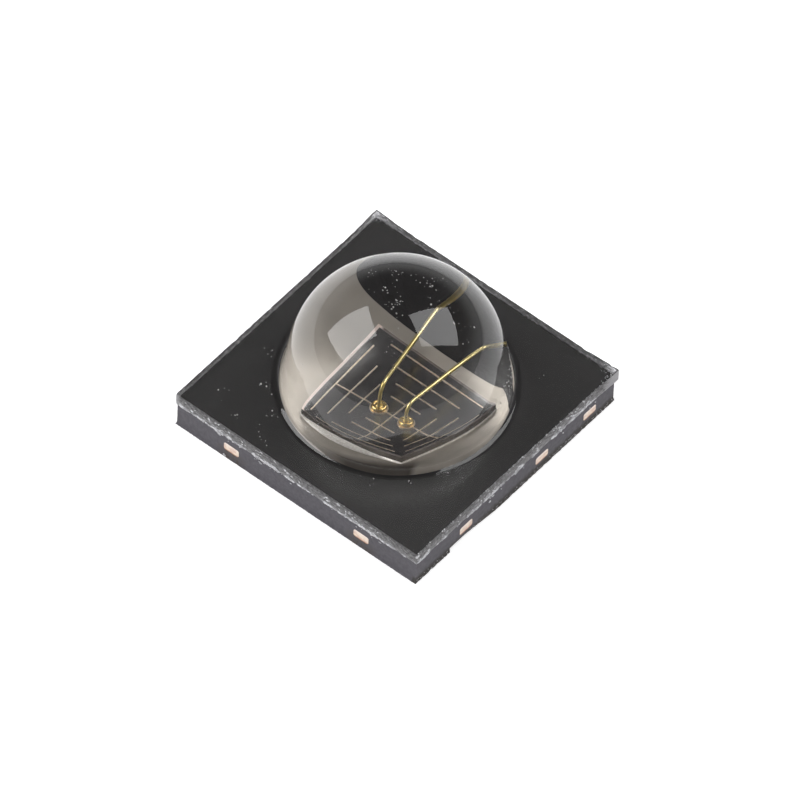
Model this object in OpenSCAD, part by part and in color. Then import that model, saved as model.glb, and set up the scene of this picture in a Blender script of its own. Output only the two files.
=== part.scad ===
// Infrared LED in a square black package with a clear dome lens, modelled in millimetres.
// The origin is the middle of the solder face, +Z is up through the dome, and the two
// bond wires run from the chip towards +Y.

/* [Package] */
// Side of the square package
package_w = 3.75; // [3.6:0.05:4.2]
// Height of the whole part, from the solder face to the top of the dome
package_h = 2.25; // [2.15:0.01:2.35]
// Height of the black moulded body
body_h = 0.39; // [0.36:0.01:0.5]
// Thickness of the clear flange over the body
flange_t = 0.18; // [0.1:0.01:0.3]
// How far the body's sawn sides stand back from the sides of the flange
side_inset = 0.015; // [0.01:0.005:0.05]
// Height of the saw burr that flares out along the foot of the body
burr_h = 0.05; // [0.03:0.005:0.08]
// Place along Y where the burr on the +X side is broken off
break_start = -1.22; // [-1.4:0.01:-1]
// Length over which the broken burr tapers back to its full width
break_l = 0.9; // [0.6:0.05:1.2]
// How far the break reaches into the sawn side
break_depth = 0.03; // [0.01:0.005:0.05]

/* [Lens] */
// Radius of the spherical dome
dome_r = 1.335; // [1.25:0.005:1.36]
// Radius of the drafted collar where it meets the flange
foot_r = 1.4; // [1.38:0.01:1.5]
// Fillet between the collar and the flange
foot_fillet = 0.07; // [0.03:0.01:0.12]

/* [Cavity] */
// Radius of the cavity at the top of the body
cavity_top_r = 1.31; // [1.28:0.01:1.36]
// Radius of the cavity at its floor
cavity_floor_r = 1.24; // [1.15:0.01:1.27]

/* [Lead frame] */
// Thickness of the lead frame, from the solder face to the floor of the cavity
frame_t = 0.25; // [0.2:0.01:0.3]
// Thickness left where the frame is etched back from below
etched_t = 0.12; // [0.08:0.01:0.15]
// Distance from the sawn sides to the edges of the leads
frame_margin = 0.2; // [0.12:0.01:0.28]
// Width of the ledge that the etching leaves round each solder pad
etch_step = 0.1; // [0.05:0.01:0.13]
// Place of the die pad's edge that faces the wire bond lead
die_pad_edge = 0.62; // [0.57:0.01:0.64]
// Gap between the two leads, filled with mould compound
lead_gap = 0.2; // [0.15:0.01:0.28]
// Corner radius of the etched leads
lead_corner_r = 0.08; // [0.04:0.01:0.1]
// Width of the tie bars that reach the sawn sides
tie_w = 0.23; // [0.15:0.01:0.24]
// Corner radius of the tie bars' section
tie_corner_r = 0.03; // [0.01:0.005:0.035]
// Distance of the front and rear tie bars from the centre line
tie_x = 1.01; // [0.9:0.01:1.2]
// Distance of the front tie bar in each side from the centre line
tie_front = 0.92; // [0.8:0.01:1.1]
// Distance of the middle tie bar in each side from the die pad's edge
tie_setback = 0.12; // [0.12:0.01:0.25]
// Distance of the rear tie bar in each side from the wire bond lead's outer edge
tie_inset = 0.275; // [0.25:0.005:0.4]

/* [Solder pads] */
// Width of the wide heat pad under the chip
heat_pad_w = 1.1; // [0.9:0.02:1.2]
// Width of the two narrow end pads
end_pad_w = 0.42; // [0.3:0.02:0.5]

/* [Chip] */
// Side of the square chip
chip_w = 0.99; // [0.93:0.01:1.06]
// Height of the chip with its mesa
chip_t = 0.11; // [0.08:0.01:0.16]
// Step back from the chip's side to the side of its mesa
mesa_inset = 0.02; // [0.01:0.005:0.04]
// Height of the mesa
mesa_h = 0.012; // [0.006:0.001:0.02]
// Place of the chip's middle along X
chip_x = -0.015; // [-0.05:0.005:0.05]
// Place of the chip's middle along Y
chip_y = -0.005; // [-0.05:0.005:0.03]
// Thickness of the die attach layer
attach_t = 0.012; // [0.006:0.001:0.03]
// How far the die attach layer reaches past the chip
attach_edge = 0.03; // [0.01:0.005:0.06]

/* [Contacts] */
// Width of a contact line
contact_w = 0.008; // [0.006:0.001:0.014]
// Thickness of the contact metal
contact_t = 0.004; // [0.002:0.001:0.008]
// Distance from the mesa's side to the middle of the outermost contact lines
contact_edge = 0.045; // [0.03:0.005:0.06]
// Spacing of the contact lines
contact_pitch = 0.1; // [0.085:0.005:0.105]
// Number of contact lines in the front and rear sectors, one more than in those with the bond pads
contact_count = 4; // [2:1:4]
// Distance of a line's end from the chip's diagonal
contact_corner = 0.065; // [0.03:0.005:0.08]
// Diameter of the two bond pads
bond_pad_d = 0.12; // [0.115:0.005:0.14]
// Spacing of the two bond pads along X
bond_pad_pitch = 0.226; // [0.2:0.002:0.26]

/* [Bond wires] */
// Diameter of the gold wire
wire_d = 0.025; // [0.02:0.001:0.035]
// Diameter of the squashed ball bond
ball_d = 0.105; // [0.09:0.005:0.115]
// Height of the ball bond up to the wire
ball_h = 0.05; // [0.04:0.005:0.06]
// Height of the loop's top above the contacts
loop_h = 0.2; // [0.18:0.01:0.24]
// Height of the loop's knee above the lead, measured to the wire's middle
knee_h = 0.235; // [0.2:0.005:0.28]
// Plan distance from the loop's knee to the stitch bond
knee_run = 0.22; // [0.18:0.01:0.25]
// Radius of the loop's top, measured to the wire's middle
loop_r = 0.095; // [0.06:0.005:0.1]
// Radius of the loop's knee, measured to the wire's middle
bend_r = 0.05; // [0.03:0.005:0.07]
// Length of the flattened stitch bond
stitch_l = 0.1; // [0.07:0.01:0.13]
// Distance of the stitch bonds from the inner edge of the wire bond lead
stitch_inset = 0.06; // [0.06:0.01:0.14]
// Place of the first wire's stitch bond along X
stitch_a_x = -0.35; // [-0.42:0.005:-0.25]
// Place of the second wire's stitch bond along X
stitch_b_x = 0.035; // [-0.05:0.005:0.12]

/* [Hidden] */
$fn = 96;

// Half the package, the top of the flange, the centre of the dome and the height of the collar under it
half_w = package_w / 2;
side_half = half_w - side_inset;
flange_z = body_h + flange_t;
dome_z = package_h - dome_r;
collar_h = dome_z - flange_z;

// Edges of the two leads in plan
lead_half = half_w - frame_margin;
pad_half = lead_half - etch_step;
wire_lead_y = die_pad_edge + lead_gap;
etched_z = frame_t - etched_t;

// Levels of the stack on the die pad
chip_z = frame_t + attach_t;
mesa_z = chip_z + chip_t;
contact_z = mesa_z + contact_t;
mesa_half = chip_w / 2 - mesa_inset;
outer_line = mesa_half - contact_edge;

// The wire swells a little in its bends, and its straight lengths lap into them
bend_d = wire_d * 1.04;
wire_lap = wire_d * 0.1;

// Where the stitch bonds and the bond pads are in plan
stitch_y = wire_lead_y + stitch_inset;
bond_a = [chip_x - bond_pad_pitch / 2, chip_y];
bond_b = [chip_x + bond_pad_pitch / 2, chip_y];

// The collar's slope: it is aimed at a circle a trace smaller than the dome, so that it runs into the dome
// with no visible edge and still crosses its surface
aim_r = dome_r * 0.9995;
draft_angle = acos(aim_r / norm([foot_r, collar_h])) - atan(collar_h / foot_r);
touch = [0, dome_z] + aim_r * heading(draft_angle);

// Level inside the flange down to which the collar goes on, and the radii of collar and plug there
root_z = body_h + flange_t / 4;
collar_root_r = foot_r + (flange_z - root_z) * tan(draft_angle);
cavity_flare = (cavity_top_r - cavity_floor_r) / (body_h - frame_t);
plug_root_r = cavity_top_r + (root_z - body_h) * cavity_flare;

// The fillet's centre: its arc touches the collar, and runs out just below the top of the flange
fillet_sink = foot_fillet * 0.02;
fillet_z = flange_z + foot_fillet - fillet_sink;
fillet_reach = foot_fillet * (1 - sin(draft_angle)) / cos(draft_angle);
fillet_x = foot_r + fillet_sink * tan(draft_angle) + fillet_reach;

// Unit vector at a heading measured from the horizontal
function heading(angle) = [cos(angle), sin(angle)];

// Heading of the step from one point to the next
function bearing(from, to) = atan2(to[1] - from[1], to[0] - from[0]);

// Outline with rounded corners, from the origin to the given size
module rounded_outline(size, r) {
    translate([r, 0]) square([size[0] - 2 * r, size[1]]);
    translate([0, r]) square([size[0], size[1] - 2 * r]);
    for (x = [r, size[0] - r], y = [r, size[1] - r]) translate([x, y]) circle(r = r);
}

// Plate with rounded corners between two opposite corners in plan
module rounded_plate(low, high, bottom, top) {
    translate([low[0], low[1], bottom])
        linear_extrude(height = top - bottom) rounded_outline(high - low, lead_corner_r);
}

// Tie bar along Y from the origin, with the corners rounded by the etching
module tie_bar(length) {
    translate([-tie_w / 2, length, etched_z])
        rotate([90, 0, 0]) linear_extrude(height = length) rounded_outline([tie_w, etched_t], tie_corner_r);
}

// Tie bar that runs along X and reaches equally far to both sides
module cross_tie(y, reach) {
    translate([reach, y, 0]) rotate([0, 0, 90]) tie_bar(2 * reach);
}

// Pair of tie bars that run along Y from a lead to a sawn side
module end_ties(from, to) {
    for (x = [-tie_x, tie_x]) translate([x, from, 0]) tie_bar(to - from);
}

// Large lead: etched plate, heat pad and front end pad in one piece, with its tie bars
module die_pad_form(reach) {
    front = -lead_half;
    heat_rear = die_pad_edge - etch_step;
    rounded_plate([-lead_half, front], [lead_half, die_pad_edge], etched_z, frame_t);
    rounded_plate([-pad_half, heat_rear - heat_pad_w], [pad_half, heat_rear], 0, frame_t);
    rounded_plate([-pad_half, front + etch_step], [pad_half, front + etch_step + end_pad_w], 0, frame_t);
    cross_tie(-tie_front, reach);
    cross_tie(die_pad_edge - tie_setback, reach);
    end_ties(-reach, front + lead_corner_r);
}

// Small lead: etched plate and rear end pad in one piece, with its tie bars
module wire_lead_form(reach) {
    rear = lead_half;
    rounded_plate([-lead_half, wire_lead_y], [lead_half, rear], etched_z, frame_t);
    rounded_plate([-pad_half, rear - etch_step - end_pad_w], [pad_half, rear - etch_step], 0, frame_t);
    cross_tie(rear - tie_inset, reach);
    end_ties(rear - lead_corner_r, reach);
}

// Section of the body from side to side: upright sawn sides with the burr along their foot
module side_section() {
    polygon([
        [-half_w, 0],
        [half_w, 0],
        [side_half, burr_h],
        [side_half, body_h],
        [-side_half, body_h],
        [-side_half, burr_h]
    ]);
}

// The body's outer block: the same section across X and across Y, mitred at the corners
module body_block() {
    length = package_w + 2 * side_inset;
    intersection() {
        rotate([90, 0, 0]) linear_extrude(height = length, center = true) side_section();
        rotate([90, 0, 90]) linear_extrude(height = length, center = true) side_section();
    }
}

// Stretch of burr that has broken off the +X side, a little deeper and higher than the burr itself
module burr_break() {
    inside = side_half - break_depth;
    outside = half_w + side_inset;
    translate([0, 0, -burr_h]) linear_extrude(height = 2 * burr_h + break_depth) polygon([
        [inside, break_start],
        [outside, break_start],
        [outside, break_start + break_l],
        [half_w, break_start + break_l],
        [inside, break_start + break_l / 3]
    ]);
}

// Tapered space in the body that the lens fills, cut on past the top of the body
module cavity_form() {
    translate([0, 0, frame_t]) cylinder(h = root_z - frame_t, r1 = cavity_floor_r, r2 = plug_root_r);
}

// Half section of the lens about its axis: dome, drafted collar with the fillet at its foot,
// a root inside the flange, and the plug that fills the cavity
module lens_section() {
    intersection() {
        translate([0, dome_z]) circle(r = dome_r);
        translate([0, dome_z]) square([dome_r, dome_r]);
    }
    polygon([
        [0, frame_t],
        [cavity_floor_r, frame_t],
        [plug_root_r, root_z],
        [collar_root_r, root_z],
        touch,
        [0, touch[1]]
    ]);
    difference() {
        polygon([
            [collar_root_r, root_z],
            [fillet_x, root_z],
            [fillet_x, fillet_z],
            [fillet_x - foot_fillet * cos(draft_angle), fillet_z - foot_fillet * sin(draft_angle)]
        ]);
        translate([fillet_x, fillet_z]) circle(r = foot_fillet);
    }
}

// One contact sector: parallel lines that grow longer towards the chip's side
module contact_sector(count) {
    for (i = [0 : count - 1]) {
        d = outer_line - i * contact_pitch;
        reach = max(d - contact_corner, bond_pad_d);
        translate([d - contact_w / 2, -reach]) square([contact_w, 2 * reach]);
    }
}

// Plan of the contact metal: a cross, four sectors and two bond pads
module contact_plan() {
    square([2 * outer_line, contact_w], center = true);
    square([contact_w, 2 * outer_line], center = true);
    for (a = [0, 180]) rotate(a) contact_sector(contact_count - 1);
    for (a = [90, 270]) rotate(a) contact_sector(contact_count);
    for (x = [-bond_pad_pitch / 2, bond_pad_pitch / 2]) translate([x, 0]) circle(d = bond_pad_d);
}

// Round wire between two points of an upright plane, lapped into what it joins at both ends
module wire_bar(from, to) {
    angle = bearing(from, to);
    begin = from - wire_lap * heading(angle);
    translate([begin[0], 0, begin[1]])
        rotate([0, 90 - angle, 0]) cylinder(h = norm(to - from) + 2 * wire_lap, d = wire_d);
}

// Downward bend in the wire, of radius r, at a corner between two headings
module wire_bend(corner, into, out, r) {
    turn = into - out;
    centre = corner + r * (heading(into - 90) - tan(turn / 2) * heading(into));
    translate([centre[0], 0, centre[1]]) rotate([90, 0, 0])
        rotate([0, 0, out + 90]) rotate_extrude(angle = turn) translate([r, 0]) circle(d = bend_d);
}

// Squashed ball with the shoulder that the capillary leaves
module ball_bond() {
    rotate_extrude() polygon([
        [0, 0],
        [ball_d * 0.46, 0],
        [ball_d / 2, ball_h * 0.2],
        [ball_d * 0.46, ball_h * 0.45],
        [ball_d * 0.3, ball_h * 0.55],
        [bend_d / 2, ball_h],
        [0, ball_h]
    ]);
}

// Flattened end of the wire, with its foot on the lead
module stitch_bond() {
    translate([0, wire_d, 0]) rotate([90, 0, 0]) linear_extrude(height = 2 * wire_d) polygon([
        [-wire_d, 0],
        [-wire_d * 0.3, wire_d * 1.1],
        [wire_d * 0.7, wire_d * 1.1],
        [stitch_l - wire_d, wire_d * 0.25],
        [stitch_l - wire_d, 0]
    ]);
}

// Wire from a ball bond on the chip over its loop to a stitch bond on the lead
module bond_wire_form(start, stitch_x) {
    run = [stitch_x, stitch_y] - start;
    length = norm(run);
    root = [0, contact_z + ball_h];
    top = [0, contact_z + loop_h];
    knee = [length - knee_run, frame_t + knee_h];
    foot = [length, frame_t + wire_d * 0.5];
    slope = bearing(top, knee);
    drop = bearing(knee, foot);
    top_cut = loop_r * tan((90 - slope) / 2);
    knee_cut = bend_r * tan((slope - drop) / 2);
    translate([start[0], start[1], 0]) rotate([0, 0, atan2(run[1], run[0])]) {
        translate([0, 0, contact_z]) ball_bond();
        wire_bar(root, top - [0, top_cut]);
        wire_bend(top, 90, slope, loop_r);
        wire_bar(top + top_cut * heading(slope), knee - knee_cut * heading(slope));
        wire_bend(knee, slope, drop, bend_r);
        wire_bar(knee + knee_cut * heading(drop), foot);
        translate([length, 0, frame_t]) stitch_bond();
    }
}

module led_chip() {
    color("#3a3533") translate([chip_x, chip_y, 0]) {
        translate([-chip_w / 2, -chip_w / 2, chip_z]) cube([chip_w, chip_w, chip_t - mesa_h]);
        translate([-mesa_half, -mesa_half, mesa_z - mesa_h]) cube([2 * mesa_half, 2 * mesa_half, mesa_h]);
    }
}

module die_attach() {
    w = chip_w + 2 * attach_edge;
    color("#8d8a86") translate([chip_x - w / 2, chip_y - w / 2, frame_t]) cube([w, w, attach_t]);
}

module chip_contacts() {
    color("#c9a06a") translate([chip_x, chip_y, mesa_z]) linear_extrude(height = contact_t) contact_plan();
}

module bond_wire_a() {
    color("#d9b24c") bond_wire_form(bond_a, stitch_a_x);
}

module bond_wire_b() {
    color("#d9b24c") bond_wire_form(bond_b, stitch_b_x);
}

module die_pad_lead() {
    color("#c9c1b4") die_pad_form(side_half);
}

module wire_bond_lead() {
    color("#c9c1b4") wire_lead_form(side_half);
}

module body() {
    color("#2b292b") difference() {
        body_block();
        burr_break();
        cavity_form();
        die_pad_form(half_w);
        wire_lead_form(half_w);
    }
}

module lens() {
    color([0.85, 0.86, 0.88, 0.35]) difference() {
        union() {
            rotate_extrude() lens_section();
            translate([-half_w, -half_w, body_h]) cube([package_w, package_w, flange_t]);
        }
        die_attach();
        led_chip();
        chip_contacts();
        bond_wire_a();
        bond_wire_b();
    }
}

lens();
body();
die_pad_lead();
wire_bond_lead();
led_chip();
die_attach();
chip_contacts();
bond_wire_a();
bond_wire_b();
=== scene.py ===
"""Looks of the infrared LED: clear lens, black package, leads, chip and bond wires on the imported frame.

Sizes are in millimetres, as in the part's source, and are turned to metres where a mesh is made.
"""

import logging
import math
from collections.abc import Callable
from dataclasses import dataclass
from enum import Enum, IntEnum
from functools import partial
from typing import NamedTuple

import bpy
import numpy as np
from bpy.types import Material, Node, NodeSocket, NodeTree, Object
from mathutils import Matrix, Vector


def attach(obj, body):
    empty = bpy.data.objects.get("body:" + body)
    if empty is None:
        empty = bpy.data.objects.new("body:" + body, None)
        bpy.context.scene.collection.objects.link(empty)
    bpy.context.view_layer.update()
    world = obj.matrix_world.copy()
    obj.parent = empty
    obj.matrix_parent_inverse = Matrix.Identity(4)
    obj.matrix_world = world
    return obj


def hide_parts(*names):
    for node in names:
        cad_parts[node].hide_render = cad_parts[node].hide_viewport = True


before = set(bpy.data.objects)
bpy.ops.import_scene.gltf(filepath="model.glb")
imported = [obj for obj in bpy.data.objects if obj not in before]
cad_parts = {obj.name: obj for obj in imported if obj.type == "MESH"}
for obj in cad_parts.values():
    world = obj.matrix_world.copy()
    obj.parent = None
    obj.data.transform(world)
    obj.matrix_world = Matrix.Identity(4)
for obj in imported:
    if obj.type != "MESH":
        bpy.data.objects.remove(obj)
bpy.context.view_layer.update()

MM = 1e-3
LOG = logging.getLogger("infrared_led")
Point = tuple[float, float, float]
Plan = tuple[float, float]
Array = np.ndarray
Adder = Callable[..., Node]
# Where a ramp starts and ends, and its results there if they aren't 0 and 1
Ramp = tuple[float, ...]
NOISE_SPAN: Ramp = (0.35, 0.65)
UP = np.array([0.0, 0.0, 1.0])
ON_SIDE = 0.9999


class Slot(Enum):
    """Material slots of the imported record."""

    SILICONE = "clear_silicone"
    MOULD = "black_mould"
    SOLDER = "solder"
    GOLD = "gold_wire"


class Zone(IntEnum):
    """Material slots of the lens mesh."""

    POLISHED = 0
    SAWN = 1
    FLANGE = 2


class Shell(NamedTuple):
    """Points in millimetres with the quads and triangles between them."""

    points: Array
    quads: Array
    triangles: Array


def linear(code: str) -> tuple[float, float, float, float]:
    """Turns an sRGB hex colour into linear red, green, blue and alpha.

    Args:
        code: The colour as #rrggbb.

    Returns:
        Four numbers from 0 to 1.
    """
    parts = [int(code[i : i + 2], 16) / 255 for i in (1, 3, 5)]
    r, g, b = (p / 12.92 if p <= 0.04045 else ((p + 0.055) / 1.055) ** 2.4 for p in parts)
    return (r, g, b, 1.0)


def add_node(tree: NodeTree, kind: str, inputs: dict | list | None = None, **settings) -> Node:
    """Adds one node with its settings, and sets or links its inputs.

    Args:
        tree: Node tree that gets the node.
        kind: Type of the node, without the ShaderNode prefix.
        inputs: By name or in order, a value, an output socket, or a node for its first output.
        **settings: Properties of the node.

    Returns:
        The new node.
    """
    made = tree.nodes.new("ShaderNode" + kind)
    for name, value in settings.items():
        setattr(made, name, value)
    for name, value in inputs.items() if isinstance(inputs, dict) else enumerate(inputs or []):
        if isinstance(value, Node):
            value = next(socket for socket in value.outputs if socket.enabled)
        if isinstance(value, NodeSocket):
            tree.links.new(value, made.inputs[name])
        else:
            made.inputs[name].default_value = value
    return made


def off_centre(add: Adder, x: NodeSocket, y: NodeSocket, pick: str) -> Node:
    """Adds the nodes that measure the distance from the part's upright axis along its sides.

    Args:
        add: Adds a node to the material's tree.
        x: Place along X.
        y: Place along Y.
        pick: MAXIMUM of the two distances, which tells the sides, or MINIMUM, which tells the corners.

    Returns:
        The node with the distance.
    """
    across, along = (add("Math", [way], operation="ABSOLUTE") for way in (x, y))
    return add("Math", [across, along], operation=pick)


def zone_share(add: Adder, *ramps: tuple[Node | NodeSocket, Ramp]) -> Node:
    """Adds the nodes that tell how far a place lies in a zone, as the product of the ramps at its borders.

    Args:
        add: Adds a node to the material's tree.
        *ramps: For each ramp the value that it follows, and the ramp.

    Returns:
        The node with the share.
    """
    share, *others = (add("MapRange", [value, *ramp]) for value, ramp in ramps)
    for other in others:
        share = add("Math", [share, other], operation="MULTIPLY")
    return share


def wavy(rng: np.random.Generator, shape: tuple[int, ...], reach: tuple[float, ...]) -> Array:
    """Smooth random field that repeats along each axis.

    White noise is blurred by a Gaussian, by multiplying its Fourier transform with exp(-(k reach)^2 / 2),
    and then scaled to a mean of 0 and a spread of 1.

    Args:
        rng: Source of the noise.
        shape: Number of samples along each axis.
        reach: Width of the blur along each axis, in samples.

    Returns:
        The field, with the given shape.
    """
    spectrum = np.fft.fftn(rng.standard_normal(shape))
    for axis, (count, width) in enumerate(zip(shape, reach)):
        gain = np.exp(-0.5 * (2 * np.pi * np.fft.fftfreq(count) * width) ** 2)
        spectrum = spectrum * gain.reshape([-1 if a == axis else 1 for a in range(len(shape))])
    blurred = np.real(np.fft.ifftn(spectrum))
    return (blurred - blurred.mean()) / blurred.std()


def square_ring(count: int) -> Array:
    """Evenly spaced points round a square of half-width 1, counterclockwise from the middle of its +X side.

    At arc length s, x is |s - 4| - 2 held between -1 and 1, and y is the same curve two units later.

    Args:
        count: Number of points, a multiple of 8 so that the corners are among them.

    Returns:
        Array of count points with x and y.
    """
    s = np.arange(count) * 8.0 / count
    x = np.clip(np.abs(s - 4) - 2, -1, 1)
    y = np.clip(np.abs((s - 2) % 8 - 4) - 2, -1, 1)
    return np.c_[x, y]


def on_circle(outline: Array) -> Array:
    """Moves each point of an outline along its radius onto the unit circle."""
    return outline / np.linalg.norm(outline, axis=1)[:, None]


def level_axes(angle: Array) -> tuple[Array, Array]:
    """Level unit vectors at each angle from +X, and those a quarter turn further."""
    cos, sin, nil = np.cos(angle), np.sin(angle), np.zeros(len(angle))
    return np.c_[cos, sin, nil], np.c_[-sin, cos, nil]


def stack_rings(rings: list[tuple[Array, Array | float]]) -> Array:
    """Grid of points from plan outlines and their heights.

    Args:
        rings: For each ring its points in plan and its height, one number or one per point.

    Returns:
        Array of rings, points and coordinates.
    """
    return np.stack([np.c_[plan, np.broadcast_to(z, len(plan))] for plan, z in rings])


def closed_shell(grid: Array, bottom: Point, top: Point) -> Shell:
    """Closes a grid of rings with one point at each end.

    Each cell between ring r and ring r + 1 is a quad, and each end is a fan of triangles. All of them face
    outwards where the rings run counterclockwise and upwards.

    Args:
        grid: Rings, points and coordinates.
        bottom: Point that closes the first ring.
        top: Point that closes the last ring.

    Returns:
        The shell, with its quads ordered by ring.
    """
    rings, count = grid.shape[:2]
    index = np.arange(rings * count).reshape(rings, count)
    ahead = np.roll(index, -1, axis=1)
    quads = np.stack([index[:-1], ahead[:-1], ahead[1:], index[1:]], axis=-1).reshape(-1, 4)
    low = np.full(count, rings * count)
    low_fan = np.stack([low, ahead[0], index[0]], axis=-1)
    high_fan = np.stack([index[-1], ahead[-1], low + 1], axis=-1)
    points = np.concatenate([grid.reshape(-1, 3), [bottom, top]])
    return Shell(points, quads, np.concatenate([low_fan, high_fan]))


def add_object(name: str, data: bpy.types.ID) -> Object:
    """Makes an object of a mesh, lamp or camera in the scene."""
    made = bpy.data.objects.new(name, data)
    bpy.context.scene.collection.objects.link(made)
    return made


def make_piece(
    name: str, shell: Shell, materials: list[Material], sharp_deg: float = 32.0
) -> Object:
    """Makes an object that rides on the package.

    Args:
        name: Name of the piece.
        shell: Its points and faces.
        materials: Finishes in the order of the faces' material numbers.
        sharp_deg: Edges with a larger turn than this stay sharp.

    Returns:
        The object, at the origin.
    """
    mesh = bpy.data.meshes.new(name)
    mesh.from_pydata(shell.points * MM, [], shell.quads.tolist() + shell.triangles.tolist())
    mesh.shade_smooth()
    mesh.set_sharp_from_angle(angle=math.radians(sharp_deg))
    for material in materials:
        mesh.materials.append(material)
    piece = add_object(name, mesh)
    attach(piece, "root")
    LOG.info("%s: %d points, %d faces", name, len(mesh.vertices), len(mesh.polygons))
    return piece


@dataclass(frozen=True)
class Finish:
    """Base of the finishes: a material whose shader each kind of finish makes."""

    name: str

    def surface(self, add: Adder, place: Node) -> Node:
        """Makes the shader; each finish has its own.

        Args:
            add: Adds a node to the material's tree.
            place: Node with the Object coordinates in millimetres.

        Returns:
            The shader node.
        """
        raise NotImplementedError

    def material(self) -> Material:
        """Returns the material with its shader linked to the output."""
        made = bpy.data.materials.new(self.name)
        made.use_nodes = True
        made.node_tree.nodes.clear()
        add = partial(add_node, made.node_tree)
        metres = add("TexCoord").outputs["Object"]
        place = add("Mapping", {"Vector": metres, "Scale": (1 / MM, 1 / MM, 1 / MM)})
        add("OutputMaterial", {"Surface": self.surface(add, place)})
        return made


@dataclass(frozen=True)
class ClearSilicone(Finish):
    """Clear silicone, moulded against a tool: sharp reflections and a bent view of what lies inside."""

    name: str = "clear_silicone_moulded"
    rough: float = 0.0
    clear: float = 1.0
    tint: str = "#fdfcfa"
    ior: float = 1.54
    ripple_mm: float = 0.55
    ripple_depth_mm: float = 0.0008

    def surface(self, add: Adder, place: Node) -> Node:
        """Returns clear glass with the faint ripple that a moulded face has."""
        ripple = add("TexNoise", {"Vector": place, "Scale": 1 / self.ripple_mm, "Detail": 1.0})
        normal = add("Bump", {"Height": ripple, "Distance": self.ripple_depth_mm * MM})
        look = {"Base Color": linear(self.tint), "IOR": self.ior, "Transmission Weight": self.clear}
        return add("BsdfPrincipled", {**look, "Roughness": self.rough, "Normal": normal})


# The flange came off a less polished part of the tool, which blurs its reflections
FLANGE = ClearSilicone("clear_silicone_flange", 0.22, 0.982)


@dataclass(frozen=True)
class SawnSilicone(Finish):
    """The same silicone where the dicing blade cut it: frosted, grey and hazy, with paler streaks."""

    name: str = "clear_silicone_sawn"
    dull: str = "#4c494b"
    pale: str = "#d2d0d4"
    ior: float = 1.54
    clear: float = 0.5
    streak_mm: float = 0.024
    streak_squash: Point = (0.45, 0.45, 1.0)
    grit_mm: float = 0.012
    grit_depth_mm: float = 0.004
    tone: Ramp = (0.53, 0.92)
    rough: Ramp = (0.35, 0.7, 0.4, 0.62)
    low: Ramp = (0.39, 0.55, 0.2, 0.0)
    corner: Ramp = (1.6, 1.87)
    rear: Ramp = (1.2, 1.6, 0.0, 0.6)
    # Painted light: the +Y and -X sides are made paler, for light from behind that shines through them
    far_backlight: Ramp = (1.8, 1.85, 0.0, 0.24)
    near: Ramp = (1.8, 1.85, 0.0, 0.06)

    def surface(self, add: Adder, place: Node) -> Node:
        """Returns rough, half clear silicone, paler at its lower edge and rear corners, with painted light
        that makes the +Y and -X sides paler.
        """
        along = add("Mapping", {"Vector": place, "Scale": self.streak_squash})
        streak = add("TexNoise", {"Vector": along, "Scale": 1 / self.streak_mm, "Detail": 4.0})
        x, y, z = add("SeparateXYZ", [place]).outputs
        left, front = (add("Math", [way, -1.0], operation="MULTIPLY") for way in (x, y))
        far_backlight = add("Math", [y, left], operation="MAXIMUM")
        near = add("Math", [x, front], operation="MAXIMUM")
        inner = off_centre(add, x, y, "MINIMUM")
        corner = zone_share(add, (inner, self.corner), (y, self.rear))
        haze = add("Math", [streak, corner], operation="ADD")
        # Haze from the lower edge and on the +X and -Y sides, and painted light on the +Y and -X sides
        for value, ramp in ((z, self.low), (far_backlight, self.far_backlight), (near, self.near)):
            haze = add("Math", [haze, zone_share(add, (value, ramp))], operation="ADD")
        tone = add("MapRange", [haze, *self.tone])
        colour = add("Mix", {0: tone, 6: linear(self.dull), 7: linear(self.pale)}, data_type="RGBA")
        rough = add("MapRange", [streak, *self.rough])
        grit = add("TexNoise", {"Vector": place, "Scale": 1 / self.grit_mm, "Detail": 3.0})
        normal = add("Bump", {"Height": grit, "Distance": self.grit_depth_mm * MM})
        look = {"IOR": self.ior, "Transmission Weight": self.clear, "Base Color": colour}
        return add("BsdfPrincipled", {**look, "Roughness": rough, "Normal": normal})


@dataclass(frozen=True)
class Powder(Finish):
    """Torn silicone and dust: crumbs that scatter all light, nearly white to grey."""

    pale: str
    dull: str
    patch_mm: float
    rough: float = 0.7
    tone: Ramp = (0.4, 0.62)

    def surface(self, add: Adder, place: Node) -> Node:
        """Returns a soft matte surface whose tone changes from crumb to crumb."""
        patch = add("TexNoise", {"Vector": place, "Scale": 1 / self.patch_mm, "Detail": 2.0})
        tone = add("MapRange", [patch, *self.tone])
        colour = add("Mix", {0: tone, 6: linear(self.dull), 7: linear(self.pale)}, data_type="RGBA")
        return add("BsdfPrincipled", {"Base Color": colour, "Roughness": self.rough})


TORN = Powder("clear_silicone_torn", "#f7f7fa", "#bab9bd", 0.05)
DUST = Powder("dust_pale", "#e4e2e1", "#8f8c8b", 0.08)


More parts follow.
